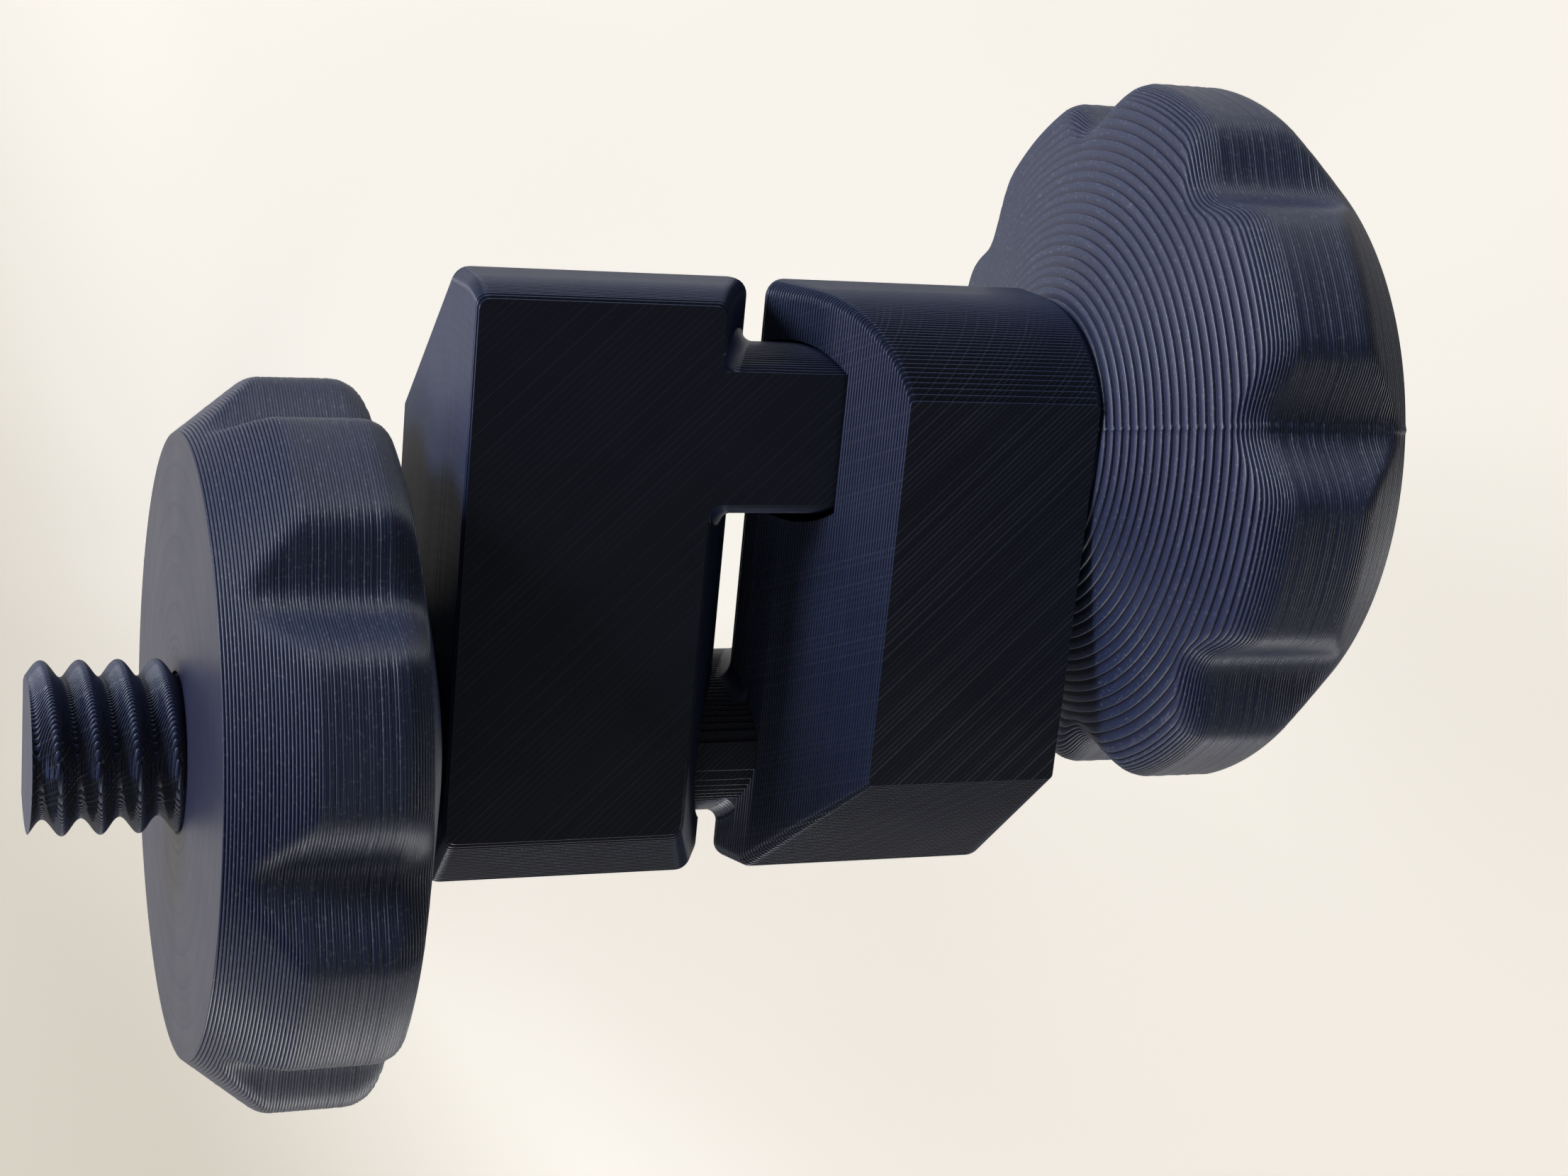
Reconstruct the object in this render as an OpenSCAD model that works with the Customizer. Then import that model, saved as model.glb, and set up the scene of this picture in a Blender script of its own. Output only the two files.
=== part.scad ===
// Screw-operated pinch clamp for soft tubing, printed in four pieces.
// Each jaw carries a D-shaped threaded stud that slides through the other jaw, and a lobed knob
// on the end of each stud draws the two jaws together.
// X runs along the studs and Z is square to the flat sides of the jaws. The origin is the middle
// of the pinch, halfway between the two pinching edges and the two studs.

/* [Studs] */
// Distance between the two stud axes across the jaws
stud_spacing = 24; // [22:0.5:32]
// How far one stud axis lies in front of the other
stud_offset = 6; // [3:0.5:8]
// Outer diameter of a stud, over its thread
stud_d = 11.7; // [10:0.1:13]
// Distance from a stud's axis to the flat along its side
stud_flat = 3.75; // [3:0.05:4.5]
// How far a stud stands out of its knob at rest
stud_end = 9.7; // [4:0.1:16]
// Radius of the fillets where a stud leaves its jaw
fillet_r = 1.1; // [0.4:0.1:1.2]

/* [Thread] */
// Advance of a knob in one turn
thread_pitch = 2.5; // [2:0.1:3.5]
// Depth of the rounded thread
thread_depth = 1.15; // [0.6:0.05:1.3]
// Radial play between a stud's thread and its knob
thread_play = 0.3; // [0.25:0.05:0.5]

/* [Jaws] */
// Length of a jaw from its outer end to its pinching edge
jaw_length = 20.5; // [16:0.5:30]
// Gap between the two pinching edges at rest
pinch_gap = 1.4; // [0.5:0.1:8]
// Slope of the pinching faces away from the edge, in degrees
face_slope = 28; // [10:1:36]
// Jaw material above the upper stud's axis
top_wall = 9.75; // [8.5:0.25:12]
// Jaw material below the lower stud's axis
bottom_wall = 8.8; // [8.5:0.1:12]
// Jaw material between the other jaw's stud axis and the nearest flat side
side_wall = 9; // [8.5:0.25:12]
// Jaw material between the upper stud's axis and the sloped corner behind it
back_slope_wall = 9.3; // [8:0.1:12]
// Jaw material between the lower stud's axis and the sloped corner in front of it
front_slope_wall = 9.9; // [8:0.1:12]
// Radius of a jaw's upright corners
corner_r = 1.2; // [0.4:0.1:2]
// Radial play of a stud in the other jaw's hole
slide_play = 0.4; // [0.3:0.05:0.6]
// Play between the flat of a stud and the flat of its hole
flat_play = 0.3; // [0.25:0.05:0.5]

/* [Knobs] */
// Diameter of a knob over its lobes
knob_d = 50; // [40:1:70]
// Depth of the valleys between the lobes
lobe_depth = 2.8; // [1:0.1:4]
// Number of lobes
lobes = 8; // [5:1:10]
// Length of a knob along its axis
knob_length = 16.3; // [13:0.1:24]
// Height of the shallow cone that faces the jaw
cone_height = 4.4; // [2:0.2:6]
// Diameter of the flat hub that bears on the jaw
hub_d = 17; // [15:0.5:20]
// Length of the bevel that faces away from the jaw
bevel_length = 4.8; // [1:0.2:6]
// Diameter of the flat outer end
end_d = 42.3; // [32:0.1:50]
// Running gap between a knob's hub and its jaw
hub_gap = 0.1; // [0.05:0.05:0.3]
// How far the left knob is turned at rest, in degrees
left_turn = 24.9; // [0:0.1:45]
// How far the right knob is turned at rest, in degrees
right_turn = 36.7; // [0:0.1:45]

/* [Hidden] */

navy = [0.13, 0.15, 0.27];
upper_y = stud_spacing / 2;
lower_y = -stud_spacing / 2;
upper_z = stud_offset / 2;
lower_z = -stud_offset / 2;
stud_r = stud_d / 2;
knob_r = knob_d / 2;

// Every jaw lies between a shallow side, level with its stud's flat, and a deep side
shallow_z = upper_z + stud_flat;
deep_z = upper_z + side_wall;
jaw_top = upper_y + top_wall;
jaw_bottom = lower_y - bottom_wall;
back_slope = upper_y - upper_z + back_slope_wall * sqrt(2);
front_slope = lower_z - lower_y + front_slope_wall * sqrt(2);

edge_x = pinch_gap / 2;
jaw_end_x = edge_x + jaw_length;
hub_x = jaw_end_x + hub_gap;
knob_end_x = hub_x + knob_length;
stud_end_x = knob_end_x + stud_end;
thread_x = jaw_end_x - pinch_gap - 1;

round_steps = 7;
corner_steps = 4;
thread_sides = 24;
rings_per_turn = 6;
lobe_steps = 12;
lobe_arc = 0.42;
fillet_bite = 0.08;
rim_over = 0.1;
thread_overlap = 0.01;
over = 1;

// Half width of a circle of radius r at the distance d from its middle
function half_chord(r, d) = sqrt(max(r * r - d * d, 0));

// Upper and lower outline of the jaws at the height z: a round corner about the stud that is
// nearer to that side and a sloped corner beyond the other
function top_y(z) = min(z + back_slope,
    upper_y + (z > upper_z ? half_chord(top_wall, z - upper_z) : top_wall));
function bottom_y(z) = max(z - front_slope,
    lower_y - (z < lower_z ? half_chord(bottom_wall, lower_z - z) : bottom_wall));

function sorted(v) = len(v) < 2 ? v : let (p = v[floor(len(v) / 2)])
    concat(sorted([for (e = v) if (e < p - 0.01) e]), [p], sorted([for (e = v) if (e > p + 0.01) e]));

// Heights from z0 to z1 at which the outline of a jaw turns
function levels(z0, z1) = let (
    turns = concat([0, jaw_top - back_slope, jaw_bottom + front_slope],
        [for (i = [0:round_steps]) upper_z + top_wall * sin(90 * i / round_steps)],
        [for (i = [0:round_steps]) lower_z - bottom_wall * sin(90 * i / round_steps)])
) concat([z0], [for (z = sorted(turns)) if (z > z0 + 0.05 && z < z1 - 0.05) z], [z1]);

// Outline of one level of a jaw: a rectangle with round corners
function rounded(x0, x1, y0, y1) = [for (q = [0:3], i = [0:corner_steps]) let (
    a = 180 + 90 * q + 90 * i / corner_steps
) [(q == 0 || q == 3 ? x0 : x1) + corner_r * (cos(a) + (q == 0 || q == 3 ? 1 : -1)),
   (q < 2 ? y0 : y1) + corner_r * (sin(a) + (q < 2 ? 1 : -1))]];

// Skin over a row of rings that all have the same number of points
module skin(rings) {
    n = len(rings[0]);
    last = (len(rings) - 1) * n;
    polyhedron(
        points = [for (ring = rings) each ring],
        faces = concat(
            [[for (i = [0:n - 1]) i]],
            [for (k = [0:n:last - n], i = [0:n - 1]) [k + i, k + n + i, k + n + (i + 1) % n]],
            [for (k = [0:n:last - n], i = [0:n - 1]) [k + i, k + n + (i + 1) % n, k + (i + 1) % n]],
            [[for (i = [n - 1:-1:0]) last + i]]),
        convexity = 6);
}

// Block of the right jaw from the height z0 to z1, with its pinching edge at the height 0
module jaw_block(z0, z1) {
    skin([for (z = levels(z0, z1)) [
        for (p = rounded(edge_x + abs(z) * tan(face_slope), jaw_end_x, bottom_y(z), top_y(z)))
            [p.x, p.y, z]]]);
}

// Threaded rod along +X with the given crest radius: a wave that climbs one pitch in each turn
module thread(crest_r, x0, x1) {
    count = ceil((x1 - x0) / thread_pitch * rings_per_turn);
    skin([for (k = [0:count]) let (x = x0 + (x1 - x0) * k / count) [
        for (i = [0:thread_sides - 1]) let (
            a = 360 * i / thread_sides,
            r = crest_r - thread_depth / 2 * (1 + cos(a - 360 * x / thread_pitch))
        ) [x, r * cos(a), r * sin(a)]]]);
}

module rod(r, x0, x1) {
    translate([x0, 0, 0]) rotate([0, 90, 0]) cylinder(r = r, h = x1 - x0, $fn = 96);
}

// Room above a flat on the +Z side, for cutting a rod to a D
module above_flat(z) {
    translate([-over, -knob_r, z]) cube([stud_end_x + 2 * over, knob_d, knob_r]);
}

// Fillet between the +Y side of a stud and its jaw's pinching face, which dies out underneath.
// It reaches a little into both.
module root_fillet() {
    low_z = -0.9 * stud_r;
    full_z = -0.6 * stud_r;
    heights = concat(
        [for (k = [0:3]) low_z + (-upper_z - low_z) * k / 4],
        [for (k = [0:8]) -upper_z + (stud_flat + rim_over + upper_z) * k / 8]);
    skin([for (z = heights) let (
        r = fillet_r * max(0.3, min(1, (z - low_z) / (full_z - low_z))),
        face_x = -edge_x - abs(z + upper_z) * tan(face_slope),
        rim_y = half_chord(stud_r, z)
    ) concat(
        [[face_x - over, rim_y - over, z], [face_x + r, rim_y - over, z]],
        [for (i = [0:corner_steps]) let (a = 270 - 90 * i / corner_steps)
            [face_x + r + (r + fillet_bite) * cos(a), rim_y + r + (r + fillet_bite) * sin(a), z]],
        [[face_x - over, rim_y + r, z]])]);
}

// Stud along +X, plain between the jaws and threaded from the other jaw on
module stud() {
    root_x = edge_x + side_wall * tan(face_slope);
    difference() {
        union() {
            rod(stud_r, -root_x, thread_x);
            thread(stud_r, thread_x - thread_overlap, stud_end_x);
            root_fillet();
            mirror([0, 1, 0]) root_fillet();
        }
        translate([-root_x, 0, 0]) above_flat(stud_flat);
        above_flat(stud_flat);
    }
}

// D-shaped hole through the other jaw
module slide_hole() {
    difference() {
        rod(stud_r + slide_play, 0, jaw_end_x + over);
        above_flat(stud_flat + flat_play);
    }
}

// Radius of a knob at the angle a from a lobe: round lobes with smooth valleys between them
function lobed_r(a) = let (
    u = abs((a * lobes / 180 + 1) % 2 - 1),
    t = max(0, (u - lobe_arc) / (1 - lobe_arc))
) knob_r - lobe_depth * (1 - cos(180 * t)) / 2;

// Knob on the stud along +X, turned so that a lobe lies that far from +Z towards +Y
module knob(turn) {
    difference() {
        translate([hub_x, 0, 0]) rotate([-turn, 0, 0]) rotate([0, 90, 0]) intersection() {
            linear_extrude(knob_length) polygon([for (i = [0:lobe_steps * lobes - 1])
                let (a = 360 * i / (lobe_steps * lobes)) lobed_r(a) * [-cos(a), sin(a)]]);
            rotate_extrude($fn = 144) polygon([
                [0, 0], [hub_d / 2, 0], [knob_r + rim_over, cone_height],
                [knob_r + rim_over, knob_length - bevel_length],
                [end_d / 2, knob_length], [0, knob_length]]);
        }
        thread(stud_r + thread_play, hub_x - over, knob_end_x + over);
    }
}

// The upper stud points to the right with its flat in front, the lower one to the left with its
// flat behind
module on_upper_stud() {
    translate([0, upper_y, upper_z]) children();
}

module on_lower_stud() {
    translate([0, lower_y, lower_z]) rotate([0, 180, 0]) children();
}

module left_jaw() {
    color(navy) {
        difference() {
            mirror([1, 0, 0]) jaw_block(-deep_z, shallow_z);
            on_lower_stud() slide_hole();
        }
        on_upper_stud() stud();
    }
}

module right_jaw() {
    color(navy) {
        difference() {
            jaw_block(-shallow_z, deep_z);
            on_upper_stud() slide_hole();
        }
        on_lower_stud() stud();
    }
}

module left_knob() {
    color(navy) on_lower_stud() knob(left_turn);
}

module right_knob() {
    color(navy) on_upper_stud() knob(right_turn);
}

left_jaw();
right_jaw();
left_knob();
right_knob();
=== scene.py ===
# Printed pinch clamp for soft tubing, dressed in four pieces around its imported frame.

import math
import random

import bmesh
import bpy
from mathutils import Matrix, Vector


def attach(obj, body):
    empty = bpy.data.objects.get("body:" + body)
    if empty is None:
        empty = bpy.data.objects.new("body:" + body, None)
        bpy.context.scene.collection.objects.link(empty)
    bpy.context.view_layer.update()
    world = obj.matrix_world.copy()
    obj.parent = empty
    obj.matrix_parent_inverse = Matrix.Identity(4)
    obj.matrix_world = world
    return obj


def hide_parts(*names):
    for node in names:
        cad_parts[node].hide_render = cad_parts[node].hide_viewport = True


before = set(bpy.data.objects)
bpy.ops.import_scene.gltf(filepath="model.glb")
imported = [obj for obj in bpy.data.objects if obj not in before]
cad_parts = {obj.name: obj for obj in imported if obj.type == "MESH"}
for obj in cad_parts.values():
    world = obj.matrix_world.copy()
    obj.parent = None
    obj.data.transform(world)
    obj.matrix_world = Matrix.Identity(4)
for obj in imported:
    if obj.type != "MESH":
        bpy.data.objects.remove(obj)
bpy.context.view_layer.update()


# ---------------------------------------------------------------------------------------------
# Camera: it looks down on the flat sides of the jaws, from the left and a little from above, as
# at a thing that lies on a table.
# ---------------------------------------------------------------------------------------------
camera = bpy.data.objects.new("camera", bpy.data.cameras.new("camera"))
camera.data.lens = 57.02
camera.data.sensor_width = 36.0
camera.data.clip_start = 0.005
camera.data.clip_end = 20.0
camera_place = Vector((-0.05990, 0.04720, 0.15843))
camera_pitch, camera_yaw, camera_roll = (math.radians(a) for a in (-16.72, -21.19, -0.47))
camera.matrix_world = (
    Matrix.Translation(camera_place)
    @ Matrix.Rotation(camera_pitch, 4, "X")
    @ Matrix.Rotation(camera_yaw, 4, "Y")
    @ Matrix.Rotation(camera_roll, 4, "Z")
)
bpy.context.collection.objects.link(camera)
bpy.context.scene.camera = camera


# ---------------------------------------------------------------------------------------------
# Studio: a plain pale floor just under the lower knob rim, a large soft lamp on the left and
# weaker ones all round, and a room that is dimmer straight above, where the camera stands.
# ---------------------------------------------------------------------------------------------
bpy.context.scene.view_settings.view_transform = "Standard"


def add_node(tree, kind, inputs=None, **settings):
    """Adds one node, sets it up, and plugs a value or another node's output into each input."""
    node = tree.nodes.new(kind)
    for name, value in settings.items():
        setattr(node, name, value)
    for name, value in (inputs or {}).items():
        if isinstance(value, bpy.types.NodeSocket):
            tree.links.new(value, node.inputs[name])
        else:
            node.inputs[name].default_value = value
    return node


def add_math(tree, operation, *values, clamp=False):
    """Adds a sum of one, two or three values and returns its output."""
    inputs = dict(enumerate(values))
    return add_node(tree, "ShaderNodeMath", inputs, operation=operation, use_clamp=clamp).outputs[0]


def add_ramp(tree, value, low, high, to_low=0.0, to_high=1.0):
    """Takes a value from one range to another, smoothly and without leaving it."""
    inputs = {"Value": value, "From Min": low, "From Max": high, "To Min": to_low, "To Max": to_high}
    return add_node(
        tree, "ShaderNodeMapRange", inputs, interpolation_type="SMOOTHSTEP"
    ).outputs["Result"]


floor_height = -0.0290
floor_half = 2.5
floor_corners = [(-floor_half, -floor_half), (floor_half, -floor_half),
                 (floor_half, floor_half), (-floor_half, floor_half)]
floor_mesh = bpy.data.meshes.new("floor")
floor_mesh.from_pydata([(x, y, floor_height) for x, y in floor_corners], [], [(0, 1, 2, 3)])
floor = bpy.data.objects.new("floor", floor_mesh)
bpy.context.collection.objects.link(floor)

floor_paint = bpy.data.materials.new("floor_paint")
floor_paint.use_nodes = True
floor_tree = floor_paint.node_tree
floor_shader = floor_tree.nodes["Principled BSDF"]
floor_shader.inputs["Base Color"].default_value = (0.80, 0.79, 0.74, 1.0)
floor_shader.inputs["Roughness"].default_value = 0.9
floor_shader.inputs["Specular IOR Level"].default_value = 0.1

# The floor glows a little where it is seen, and more weakly in reflections. A painted shade darkens
# its near left corner, and painted light turns it paler further out, past the lamps.
FLOOR_PAINTED_SHADE = (0.265, 0.225, 0.165, 1.0)
FLOOR_PALE = (0.60, 0.56, 0.505, 1.0)
FLOOR_FAR_PAINTED_LIGHT = (0.86, 0.84, 0.80, 1.0)
floor_ray = add_node(floor_tree, "ShaderNodeLightPath")
floor_spot = add_node(floor_tree, "ShaderNodeTexCoord").outputs["Object"]
floor_place = add_node(floor_tree, "ShaderNodeSeparateXYZ", {"Vector": floor_spot})
floor_across = add_math(
    floor_tree, "MULTIPLY_ADD", floor_place.outputs["Y"], 0.45, floor_place.outputs["X"]
)
# Painted shade: the floor's glow is darker in its near left corner.
floor_near = add_node(
    floor_tree, "ShaderNodeMix",
    {"Factor": add_ramp(floor_tree, floor_across, -0.062, -0.020),
     "A": FLOOR_PAINTED_SHADE, "B": FLOOR_PALE},
    data_type="RGBA",
).outputs[2]
floor_way = add_node(
    floor_tree, "ShaderNodeVectorMath", {0: floor_spot}, operation="LENGTH"
).outputs["Value"]
# Painted light: past the lamps the floor glows paler, for the camera only.
floor_far = add_math(
    floor_tree, "MULTIPLY", add_ramp(floor_tree, floor_way, 0.35, 0.60),
    floor_ray.outputs["Is Camera Ray"],
)
floor_glow = add_node(
    floor_tree, "ShaderNodeMix", {"Factor": floor_far, "A": floor_near, "B": FLOOR_FAR_PAINTED_LIGHT},
    data_type="RGBA",
).outputs[2]
floor_seen = add_math(
    floor_tree, "MULTIPLY_ADD", floor_ray.outputs["Is Glossy Ray"], 0.60,
    floor_ray.outputs["Is Camera Ray"],
)
floor_tree.links.new(floor_glow, floor_shader.inputs["Emission Color"])
floor_tree.links.new(floor_seen, floor_shader.inputs["Emission Strength"])
floor_mesh.materials.append(floor_paint)

room = bpy.data.worlds.new("room")
bpy.context.scene.world = room
room.use_nodes = True
room_tree = room.node_tree
room_way = add_node(room_tree, "ShaderNodeTexCoord").outputs["Generated"]
room_up = add_node(room_tree, "ShaderNodeSeparateXYZ", {"Vector": room_way}).outputs["Z"]
room_light = add_ramp(room_tree, room_up, 0.10, 0.60, to_low=0.30, to_high=0.055)
room_tree.nodes["Background"].inputs["Color"].default_value = (1.0, 0.985, 0.95, 1.0)
room_seen = add_node(room_tree, "ShaderNodeLightPath").outputs["Is Camera Ray"]
room_light = add_math(room_tree, "MULTIPLY_ADD", room_seen, 0.80, room_light)
room_tree.links.new(room_light, room_tree.nodes["Background"].inputs["Strength"])

# Each lamp is a disk that faces the origin: its place, width, power and colour.
lamps = {
    "window_lamp": ((-0.560, 0.323, 0.055), 0.24, 6.2, (0.92, 0.97, 1.0)),
    "left_lamp": ((-0.646, 0.0, 0.055), 0.24, 1.8, (1.0, 0.90, 1.0)),
    "upper_lamp": ((0.0, 0.646, 0.055), 0.24, 1.1, (0.94, 0.97, 1.0)),
    "right_lamp": ((0.625, -0.165, 0.055), 0.24, 1.15, (1.0, 1.0, 1.0)),
    "lower_lamp": ((0.0, -0.646, 0.055), 0.24, 2.0, (1.0, 1.0, 1.0)),
    "fill_lamp": ((-0.287, -0.497, 0.305), 0.28, 0.6, (1.0, 0.97, 0.90)),
}
for lamp_name, (place, width, power, colour) in lamps.items():
    lamp = bpy.data.objects.new(lamp_name, bpy.data.lights.new(lamp_name, "AREA"))
    lamp.data.shape = "DISK"
    lamp.data.size = width
    lamp.data.energy = power
    lamp.data.color = colour
    lamp.location = place
    lamp.rotation_euler = Vector(place).to_track_quat("Z", "Y").to_euler()
    bpy.context.collection.objects.link(lamp)


# ---------------------------------------------------------------------------------------------
# The plastic: one navy filament, laid down in layers 0.2 mm high. Two shader groups hold what
# the printer leaves on it: the edges of the layers, and the rows of lines on a flat side.
# ---------------------------------------------------------------------------------------------
def shader_group(name, takes, gives):
    """Starts a shader group with the named numbers as its inputs and outputs."""
    group = bpy.data.node_groups.new(name, "ShaderNodeTree")
    for socket in takes:
        group.interface.new_socket(socket, in_out="INPUT", socket_type="NodeSocketFloat")
    for socket in gives:
        group.interface.new_socket(socket, in_out="OUTPUT", socket_type="NodeSocketFloat")
    return group, add_node(group, "NodeGroupInput"), add_node(group, "NodeGroupOutput")


# One bead for each layer: its height falls off towards both edges, and its tone is its own.
layer_edges, edges_in, edges_out = shader_group(
    "layer_edges", ["Height", "Layer"], ["Bead", "Tone"]
)
in_layers = add_math(layer_edges, "DIVIDE", edges_in.outputs["Height"], edges_in.outputs["Layer"])
from_middle = add_math(
    layer_edges, "MULTIPLY_ADD", add_math(layer_edges, "FRACT", in_layers), 2.0, -1.0
)
bead = add_math(
    layer_edges, "SUBTRACT", 1.0,
    add_math(layer_edges, "POWER", add_math(layer_edges, "ABSOLUTE", from_middle), 3.0),
)
layer_edges.links.new(bead, edges_out.inputs["Bead"])
layer_number = add_math(layer_edges, "FLOOR", in_layers)
layer_edges.links.new(
    add_node(layer_edges, "ShaderNodeTexWhiteNoise", {"W": layer_number},
             noise_dimensions="1D").outputs["Value"],
    edges_out.inputs["Tone"],
)

# Narrow ridges at a fixed spacing, each as strong as chance made it.
drawn_lines, lines_in, lines_out = shader_group(
    "drawn_lines", ["Across", "Spacing"], ["Line", "Tone"]
)
in_lines = add_math(drawn_lines, "DIVIDE", lines_in.outputs["Across"], lines_in.outputs["Spacing"])
from_line = add_math(
    drawn_lines, "MULTIPLY_ADD", add_math(drawn_lines, "FRACT", in_lines), 2.0, -1.0
)
ridge = add_math(
    drawn_lines, "MULTIPLY_ADD", add_math(drawn_lines, "ABSOLUTE", from_line), -2.2, 1.0, clamp=True
)
line_tone = add_node(
    drawn_lines, "ShaderNodeTexWhiteNoise", {"W": add_math(drawn_lines, "FLOOR", in_lines)},
    noise_dimensions="1D",
).outputs["Value"]
line_strength = add_math(drawn_lines, "MULTIPLY_ADD", line_tone, 0.8, 0.2)
drawn_lines.links.new(
    add_math(drawn_lines, "MULTIPLY", ridge, line_strength), lines_out.inputs["Line"]
)
drawn_lines.links.new(line_tone, lines_out.inputs["Tone"])

MM = 0.001
layer_mm = 0.2
BEAD_HEIGHT = 0.000016
GRAIN_HEIGHT = 0.000004
GLOSS_SPREAD = 0.06
NAVY_DARK = (0.0082, 0.0135, 0.0390, 1.0)
NAVY_LIGHT = (0.0125, 0.0205, 0.0560, 1.0)
# The pale navy of the scuffs, and of the painted highlight along the drawn lines.
NAVY_PALE = (0.0900, 0.0950, 0.1250, 1.0)


def printed_plastic(name, build_axis, line_spacing, line_depth, line_painted_highlight, flat_shade_navy, roughness,
                    flecks, axis_at=None):
    """Navy plastic printed along build_axis. The sides square to it have drawn lines, straight
    ones or rings about axis_at, paled along them as a painted highlight, and a darker, greyer
    navy as painted shade. Flecks are the pale scuffs elsewhere."""
    plastic = bpy.data.materials.new(name)
    plastic.use_nodes = True
    tree = plastic.node_tree
    shader = tree.nodes["Principled BSDF"]
    at = add_node(tree, "ShaderNodeTexCoord")
    place = add_node(tree, "ShaderNodeSeparateXYZ", {"Vector": at.outputs["Object"]})
    facing = add_node(tree, "ShaderNodeSeparateXYZ", {"Vector": at.outputs["Normal"]})
    on_flat = add_ramp(
        tree, add_math(tree, "ABSOLUTE", facing.outputs[build_axis]), 0.97, 0.995
    )
    edges = add_node(
        tree, "ShaderNodeGroup", {"Height": place.outputs[build_axis], "Layer": layer_mm * MM},
        node_tree=layer_edges,
    )
    if axis_at:
        from_axis = add_node(
            tree, "ShaderNodeVectorMath",
            {0: at.outputs["Object"], 1: (0.0, axis_at[0] * MM, axis_at[1] * MM)},
            operation="SUBTRACT",
        ).outputs[0]
        flat_part = add_node(
            tree, "ShaderNodeVectorMath", {0: from_axis, 1: (0.0, 1.0, 1.0)}, operation="MULTIPLY"
        ).outputs[0]
        across = add_node(
            tree, "ShaderNodeVectorMath", {0: flat_part}, operation="LENGTH"
        ).outputs["Value"]
    else:
        across = add_math(
            tree, "MULTIPLY",
            add_math(tree, "SUBTRACT", place.outputs["X"], place.outputs["Y"]), math.sqrt(0.5),
        )
    lines = add_node(
        tree, "ShaderNodeGroup", {"Across": across, "Spacing": line_spacing},
        node_tree=drawn_lines,
    )
    grain = add_node(
        tree, "ShaderNodeTexNoise", {"Vector": at.outputs["Object"], "Scale": 2600.0, "Detail": 2.0}
    ).outputs["Fac"]
    clouds = add_node(
        tree, "ShaderNodeTexNoise", {"Vector": at.outputs["Object"], "Scale": 160.0, "Detail": 3.0}
    ).outputs["Fac"]

    side_height = add_math(tree, "MULTIPLY", edges.outputs["Bead"], BEAD_HEIGHT)
    flat_height = add_math(tree, "MULTIPLY", lines.outputs["Line"], line_depth)
    height = add_node(
        tree, "ShaderNodeMix", {"Factor": on_flat, "A": side_height, "B": flat_height}
    ).outputs[0]
    height = add_math(tree, "MULTIPLY_ADD", grain, GRAIN_HEIGHT, height)
    bump = add_node(
        tree, "ShaderNodeBump", {"Height": height, "Distance": 1.0, "Strength": 1.0}
    )
    tree.links.new(bump.outputs["Normal"], shader.inputs["Normal"])

    tone = add_node(
        tree, "ShaderNodeMix",
        {"Factor": on_flat, "A": edges.outputs["Tone"], "B": lines.outputs["Tone"]},
    ).outputs[0]
    tone = add_math(tree, "MULTIPLY_ADD", tone, 0.22, add_math(tree, "MULTIPLY", clouds, 0.7))
    navy = add_node(
        tree, "ShaderNodeMix", {"Factor": tone, "A": NAVY_DARK, "B": NAVY_LIGHT}, data_type="RGBA"
    ).outputs[2]
    # Painted shade: the sides square to the build axis take mostly a darker, greyer navy.
    navy = add_node(
        tree, "ShaderNodeMix",
        {"Factor": add_math(tree, "MULTIPLY", on_flat, 0.85), "A": navy, "B": flat_shade_navy},
        data_type="RGBA",
    ).outputs[2]
    # Pale scuffs off the flat sides; on the flat sides a painted highlight pales the drawn lines.
    spots = add_node(
        tree, "ShaderNodeTexNoise", {"Vector": at.outputs["Object"], "Scale": 4200.0, "Detail": 0.0}
    ).outputs["Fac"]
    pale = add_node(
        tree, "ShaderNodeMix",
        {"Factor": on_flat,
         "A": add_math(tree, "MULTIPLY", add_ramp(tree, spots, 0.66, 0.73), flecks),
         "B": add_math(tree, "MULTIPLY", lines.outputs["Line"], line_painted_highlight)},
    ).outputs[0]
    navy = add_node(
        tree, "ShaderNodeMix", {"Factor": pale, "A": navy, "B": NAVY_PALE}, data_type="RGBA"
    ).outputs[2]
    tree.links.new(navy, shader.inputs["Base Color"])
    dullness = add_ramp(
        tree, tone, 0.0, 1.0, to_low=roughness - GLOSS_SPREAD, to_high=roughness + GLOSS_SPREAD
    )
    tree.links.new(dullness, shader.inputs["Roughness"])
    return plastic


# ---------------------------------------------------------------------------------------------
# Left jaw: a printed block with a V-shaped pinching edge and a D-shaped hole, and the upper
# stud in one piece with it. It was printed lying on its front, so the layers run along the jaw
# and the stud. From here on, lengths are in millimetres.
# ---------------------------------------------------------------------------------------------
stud_radius = 5.85
stud_flat = 3.75
upper_axis = (12.0, 3.0)
lower_axis = (-12.0, -3.0)
thread_pitch = 2.5
thread_depth = 1.15
thread_start = 18.8
thread_runout = thread_pitch / 2
stud_end = 47.3
edge_x = 0.7
jaw_end_x = 21.2
face_slope = math.tan(math.radians(28.0))
shallow_side, deep_side = 6.75, 12.0
top_wall, bottom_wall = 9.75, 8.8
back_slope_wall, front_slope_wall = 9.3, 9.9
back_slope = upper_axis[0] - upper_axis[1] + back_slope_wall * math.sqrt(2.0)
front_slope = lower_axis[1] - lower_axis[0] + front_slope_wall * math.sqrt(2.0)
corner_radius, corner_taper, corner_bulge = 1.2, 0.07, 2.4
slide_play, flat_play, hole_shift, hole_sides = 0.42, 0.3, -0.2, 96
fillet_radius, fillet_depth, fillet_start = 1.1, 0.6, -4.6
fillet_layers, fillet_steps = 42, 8
stud_layers = round((stud_radius + stud_flat) / layer_mm)

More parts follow.
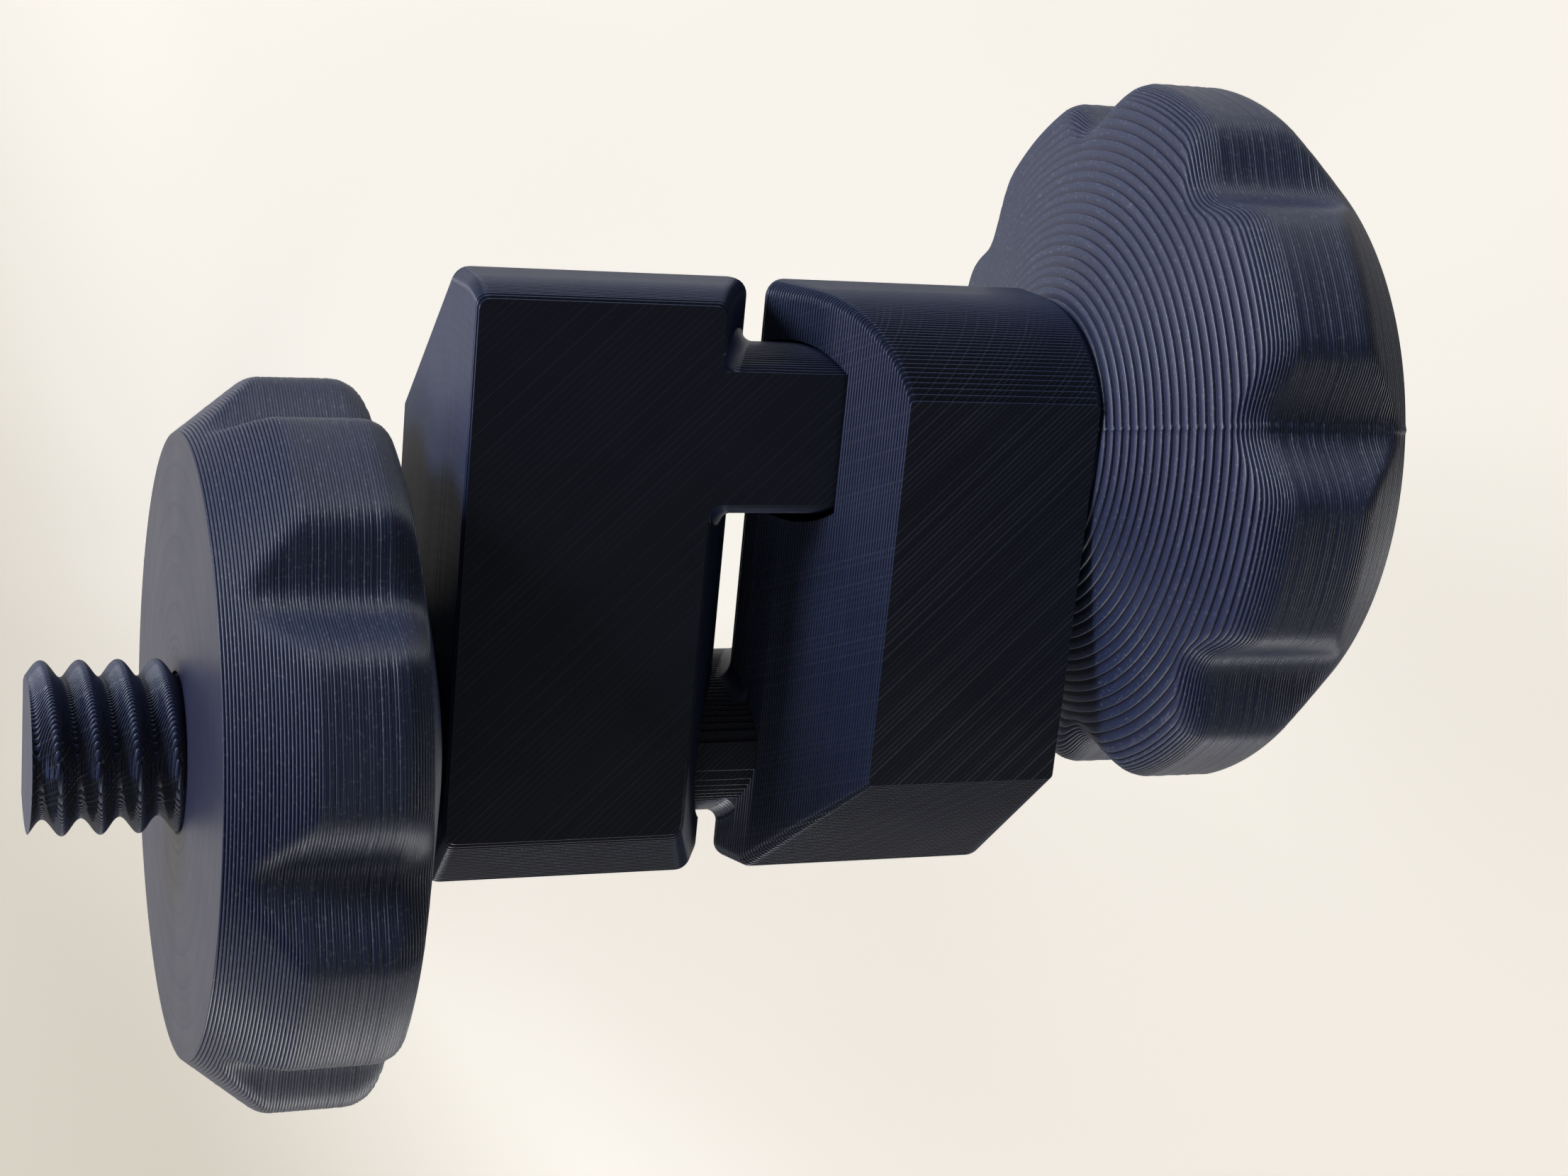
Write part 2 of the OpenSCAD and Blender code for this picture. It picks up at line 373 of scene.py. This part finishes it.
# A layer's section, as rows of height in layers and inset in millimetres, and how far the two
# layers next to the print bed are held in.
bead_rows = ((-0.5, 0.046), (-0.3, 0.0), (0.3, 0.0), (0.5, 0.046))
bed_squash = (0.14, 0.04)
fold_step = 0.004


def half_chord(radius, distance):
    """Half the width of a circle at a distance from its middle, and none outside it."""
    return math.sqrt(max(radius * radius - distance * distance, 0.0))


def jaw_top(z):
    """Top of a jaw at a height: round in front, level, and cut off at 45 degrees behind."""
    rise = half_chord(top_wall, z - upper_axis[1]) if z > upper_axis[1] else top_wall
    return min(z + back_slope, upper_axis[0] + rise)


def jaw_bottom(z):
    """Bottom of a jaw at a height: round behind, level, and cut off at 45 degrees in front."""
    fall = half_chord(bottom_wall, lower_axis[1] - z) if z < lower_axis[1] else bottom_wall
    return max(z - front_slope, lower_axis[0] - fall)


def rounded_outline(x0, x1, y0, y1, radius, steps=6):
    """Corners of a rectangle with round corners, anticlockwise from above."""
    corners = ((x0 + radius, y0 + radius), (x1 - radius, y0 + radius),
               (x1 - radius, y1 - radius), (x0 + radius, y1 - radius))
    outline = []
    for quarter, (cx, cy) in enumerate(corners):
        for step in range(steps + 1):
            angle = math.pi + math.pi / 2 * (quarter + step / steps)
            outline.append((cx + radius * math.cos(angle), cy + radius * math.sin(angle)))
    return outline


def skin(name, rings, ring_closed=False):
    """Mesh over a row of rings of points in millimetres, with ends or running back into itself."""
    count = len(rings[0])
    faces = []
    for k in range(len(rings) - (0 if ring_closed else 1)):
        a, b = k * count, (k + 1) % len(rings) * count
        for i in range(count):
            j = (i + 1) % count
            faces.append((a + i, a + j, b + j, b + i))
    if not ring_closed:
        faces.append(tuple(reversed(range(count))))
        faces.append(tuple(range((len(rings) - 1) * count, len(rings) * count)))
    mesh = bpy.data.meshes.new(name)
    mesh.from_pydata([Vector(p) * MM for ring in rings for p in ring], [], faces)
    piece = bpy.data.objects.new(name, mesh)
    bpy.context.collection.objects.link(piece)
    clean_up(mesh)
    return piece


def clean_up(mesh):
    """Welds rings that lie on each other and turns every face outwards."""
    shape = bmesh.new()
    shape.from_mesh(mesh)
    bmesh.ops.remove_doubles(shape, verts=shape.verts, dist=0.000002)
    bmesh.ops.recalc_face_normals(shape, faces=shape.faces)
    shape.to_mesh(mesh)
    shape.free()


def keep_result(piece):
    """Turns what a piece's modifiers make of it into its plain mesh."""
    result = bpy.data.meshes.new_from_object(
        piece.evaluated_get(bpy.context.evaluated_depsgraph_get())
    )
    piece.modifiers.clear()
    piece.data = result


def work_on(piece, tool, how):
    """Cuts the tool out of the piece or joins it on."""
    step = piece.modifiers.new(how, "BOOLEAN")
    step.operation = how
    step.object = tool
    step.solver = "MANIFOLD"
    keep_result(piece)
    bpy.data.objects.remove(tool)


def printed_block(name, z0, z1, bed_z):
    """A jaw's block, layer by layer, each one a bead that stands out a little in its middle. Its
    upright corners get sharper towards its two flat sides."""
    rings = []
    layers = round((z1 - z0) / layer_mm)
    step = (z1 - z0) / layers
    for k in range(layers):
        z = z0 + step * (k + 0.5)
        from_bed = min(abs(z0 + step * k - bed_z), abs(z0 + step * (k + 1) - bed_z))
        squash = bed_squash[0] if from_bed < 0.1 else bed_squash[1] if from_bed < 0.3 else 0.0
        for part, inset in bead_rows:
            radius = corner_radius - abs(z) * corner_taper + inset * corner_bulge
            inset += squash
            rings.append([(x, y, z + part * step) for x, y in rounded_outline(
                edge_x + abs(z) * face_slope + inset, jaw_end_x - inset,
                jaw_bottom(z) + inset, jaw_top(z) - inset, radius)])
    return skin(name, rings)


def thread_wave(x, angle, radius):
    """Radius of a right-hand thread with round roots and crests, at a place along its axis."""
    turn = angle - 2.0 * math.pi * x / thread_pitch
    return radius - thread_depth * (1.0 + math.cos(turn)) / 2.0


def stud_radius_at(x, angle):
    """Radius of the stud, where the thread gets deeper over its first half turn."""
    grown = min(1.0, max(0.0, (x - thread_start) / thread_runout))
    return stud_radius + grown * (thread_wave(x, angle, stud_radius) - stud_radius)


def stud_reach(x, z, side):
    """How far the stud reaches to one side of its axis at a height that its outline crosses,
    found by halving the angle's range."""
    low, high = -math.pi / 2, math.pi / 2
    for _ in range(13):
        tilt = (low + high) / 2
        radius = stud_radius_at(x, tilt if side > 0 else math.pi - tilt)
        if radius * math.sin(tilt) < z:
            low = tilt
        else:
            high = tilt
    return radius * math.cos(tilt)


def stud_ring(x):
    """The stud's outline at a place along it, laid down in layers from its flat downwards. Layers
    that the thread cuts away there are folded up at the bottom, so that all rings match."""
    depth = stud_radius_at(x, -math.pi / 2)
    real = min(stud_layers, int((stud_flat + depth) / layer_mm + 0.5))
    ring = []
    for side in (1, -1):
        half = []
        for k in range(real):
            middle = stud_flat - layer_mm * (k + 0.5)
            reach = stud_reach(x, middle, side)
            half += [(reach - min(inset, reach / 2), middle - part * layer_mm)
                     for part, inset in bead_rows]
        last, lowest = half[-1]
        spare = len(bead_rows) * (stud_layers - real)
        half += [(min(fold_step * (spare - j), last), lowest) for j in range(spare)]
        half = [(x, side * across, z) for across, z in half]
        ring += half if side > 0 else reversed(half)
    return ring


def printed_stud(name):
    """Threaded stud along +X with its flat towards +Z. Its rings are far apart where it is plain,
    closer on the thread, and closest where the thread stands clear of the knob."""
    places = [-6.5, 2.0, 6.0, 10.0, 14.0]
    for x0, x1, apart in ((18.0, 36.5, 0.31), (36.5, stud_end, 0.09)):
        count = round((x1 - x0) / apart)
        places += [x0 + (x1 - x0) * k / count for k in range(count)]
    return skin(name, [stud_ring(x) for x in places + [stud_end]])


def slide_hole(name):
    """D-shaped hole along +X for the other jaw's stud, with its flat towards +Z."""
    radius, flat = stud_radius + slide_play, stud_flat + flat_play
    opening = 0.5 - math.asin(flat / radius) / math.pi
    outline = []
    for i in range(hole_sides + 1):
        turned = 2.0 * math.pi * (1.0 - opening) * i / hole_sides
        angle = math.pi / 2 + math.pi * opening + turned
        outline.append((hole_shift + radius * math.cos(angle), radius * math.sin(angle)))
    return skin(name, [[(x, y, z) for y, z in outline] for x in (-1.0, jaw_end_x + 1.0)])


def root_fillets(stud_piece):
    """Fills the corners between the stud and the pinching face above and below it."""
    for side in (1, -1):
        rings = []
        for k in range(fillet_layers + 1):
            z = fillet_start + (stud_flat - fillet_start) * k / fillet_layers
            face = -(edge_x + abs(z + upper_axis[1]) * face_slope)
            rim = half_chord(stud_radius, z)
            back, root = face - fillet_depth, side * (rim - fillet_depth)
            front, top = face + fillet_radius, rim + fillet_radius
            ring = [(back, root, z), (back, side * top, z)]
            for step in range(fillet_steps + 1):
                angle = math.pi + math.pi / 2 * step / fillet_steps
                ring.append((front + fillet_radius * math.cos(angle),
                             side * (top + fillet_radius * math.sin(angle)), z))
            ring.append((front, root, z))
            rings.append(ring)
        work_on(stud_piece, skin("fillet", rings), "UNION")


def placed(piece, *steps):
    """Moves a piece's mesh through the given matrices, the first one first."""
    for step in steps:
        piece.data.transform(step)
        if step.determinant() < 0:
            piece.data.flip_normals()
    return piece


to_upper = Matrix.Translation(Vector((0.0, upper_axis[0], upper_axis[1])) * MM)
to_lower = (
    Matrix.Translation(Vector((0.0, lower_axis[0], lower_axis[1])) * MM)
    @ Matrix.Rotation(math.pi, 4, "Y")
)
mirror_x = Matrix.Diagonal((-1.0, 1.0, 1.0, 1.0))

# Painted shade: a darker, greyer navy for the jaws' flat sides.
JAW_FLAT_SHADE = (0.0088, 0.0098, 0.0170, 1.0)
jaw_plastic = printed_plastic(
    "jaw_plastic", "Z", line_spacing=0.00044, line_depth=0.000014, line_painted_highlight=0.07,
    flat_shade_navy=JAW_FLAT_SHADE, roughness=0.40, flecks=0.0,
)


def even_out(piece):
    """Lets each wide face keep its own direction, so that only the small ones turn round edges."""
    piece.modifiers.new("even_out", "WEIGHTED_NORMAL").keep_sharp = True
    keep_result(piece)


def finish_piece(piece, plastic, node):
    """Smooths all but the real edges, gives the plastic, and puts the piece in its node's place."""
    piece.data.materials.clear()
    piece.data.materials.append(plastic)
    piece.data.polygons.foreach_set("use_smooth", [True] * len(piece.data.polygons))
    piece.data.set_sharp_from_angle(angle=math.radians(60.0))
    even_out(piece)
    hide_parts(node)
    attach(piece, node)


left_jaw = placed(printed_block("left_jaw_print", -deep_side, shallow_side, shallow_side), mirror_x)
work_on(left_jaw, placed(slide_hole("hole"), to_lower), "DIFFERENCE")
left_stud = printed_stud("stud")
root_fillets(left_stud)
work_on(left_jaw, placed(left_stud, to_upper), "UNION")
finish_piece(left_jaw, jaw_plastic, "left_jaw")


# ---------------------------------------------------------------------------------------------
# Right jaw: a second print, deep in front where the left jaw is deep behind, with the lower
# stud in one piece with it. It was printed on its back, so its front is the last layer, which
# has deeper drawn lines; they are also paled more, as a painted highlight.
# ---------------------------------------------------------------------------------------------
right_jaw = printed_block("right_jaw_print", -shallow_side, deep_side, -shallow_side)
work_on(right_jaw, placed(slide_hole("hole"), to_upper), "DIFFERENCE")
right_stud = printed_stud("stud")
root_fillets(right_stud)
work_on(right_jaw, placed(right_stud, to_lower), "UNION")
top_plastic = printed_plastic(
    "jaw_top_plastic", "Z", line_spacing=0.00033, line_depth=0.000036, line_painted_highlight=0.28,
    flat_shade_navy=JAW_FLAT_SHADE, roughness=0.40, flecks=0.0,
)
finish_piece(right_jaw, top_plastic, "right_jaw")


# ---------------------------------------------------------------------------------------------
# Knobs: two copies of one lobed print with a thread down the middle, screwed on to the studs.
# The layers were laid down along the screw, each a little out of line with the last, and they
# all start at one seam.
# ---------------------------------------------------------------------------------------------
knob_radius = 25.0
lobes = 8
lobe_depth = 2.8
lobe_arc = 0.42
hub_x = 21.3
knob_length = 16.3
hub_radius = 8.5
cone_slope = math.tan(math.radians(15.0))
rim_round = 2.4
bevel_length = 4.8
bevel_round = 0.5
end_radius = 21.15
thread_play = 0.3
knob_layers = 81
knob_sides = 240
knob_inset_share = 0.65
layer_slip = 0.014
seam_height = 0.12
seam_width = math.radians(0.6)
bore_step = 0.3


def lobed_radius(angle):
    """Radius of the knob's outline at an angle from the middle of a lobe."""
    share = abs((angle * lobes / math.pi + 1.0) % 2.0 - 1.0)
    fall = max(0.0, (share - lobe_arc) / (1.0 - lobe_arc))
    return knob_radius - lobe_depth * (1.0 - math.cos(math.pi * fall)) / 2.0


def turned_radius(height, side):
    """Radius at a height above the hub, where the side stands at the given radius: up the cone,
    round the rim, along the side, and in again over the bevel."""
    centre = (side - rim_round - hub_radius) * cone_slope + rim_round * math.hypot(1.0, cone_slope)
    if height < centre:
        cone = hub_radius + height / cone_slope
        curve = side - rim_round + half_chord(rim_round, centre - height)
        touch = centre - rim_round * math.cos(math.atan(cone_slope))
        return cone if height < touch else curve
    drop = (knob_radius - end_radius) / bevel_length
    bevel = knob_radius - (height - (knob_length - bevel_length)) * drop
    near = max(bevel_round - abs(side - bevel), 0.0) / bevel_round
    return min(side, bevel) - near * near * bevel_round / 4.0


def printed_knob(name, turn, seam_angle):
    """Knob on the stud along +X, turned so that a lobe lies turn degrees from +Z towards +Y."""
    turn, seam = math.radians(turn), math.radians(seam_angle)
    angles = [2.0 * math.pi * i / knob_sides for i in range(knob_sides)]
    angles += [(seam + math.radians(a)) % (2.0 * math.pi) for a in (-1.0, -0.5, 0.0, 0.5, 1.0)]
    angles = sorted(angles)

    def ring(height, radius_at):
        return [(hub_x + height, radius_at(a) * math.sin(a), radius_at(a) * math.cos(a))
                for a in angles]

    def layer_radius(angle, height):
        off_seam = math.remainder(angle - seam, 2.0 * math.pi) / seam_width
        bump = seam_height * math.exp(-off_seam * off_seam) if abs(off_seam) < 3.0 else 0.0
        return turned_radius(height, lobed_radius(angle - turn)) + bump - seam_height / 2

    rings = []
    step = knob_length / knob_layers
    unevenness = random.Random(name)
    for k in range(knob_layers):
        middle = step * (k + 0.5)
        slip = unevenness.uniform(-layer_slip, layer_slip)
        for part, inset in bead_rows:
            rings.append(ring(
                middle + part * step,
                lambda a: layer_radius(a, middle) + slip - inset * knob_inset_share,
            ))
    bore_rings = round(knob_length / bore_step)
    for k in range(bore_rings + 1):
        height = knob_length * (1.0 - k / bore_rings)
        rings.append(ring(height, lambda a: thread_wave(
            hub_x + height, math.pi / 2 - a, stud_radius + thread_play)))
    return skin(name, rings, ring_closed=True)


# Painted shade: a darker, greyer navy for the knobs' flat sides.
KNOB_FLAT_SHADE = (0.0095, 0.0108, 0.0300, 1.0)
for side, turn, seam, place, axis_at in (
    ("left_knob", 24.9, 20.0, to_lower, lower_axis),
    ("right_knob", 36.7, 14.2, to_upper, upper_axis),
):
    knob = placed(printed_knob(side + "_print", turn, seam), place)
    knob_plastic = printed_plastic(
        side + "_plastic", "X", line_spacing=0.000375, line_depth=0.000006, line_painted_highlight=0.0,
        flat_shade_navy=KNOB_FLAT_SHADE, roughness=0.42, flecks=0.4, axis_at=axis_at,
    )
    finish_piece(knob, knob_plastic, side)
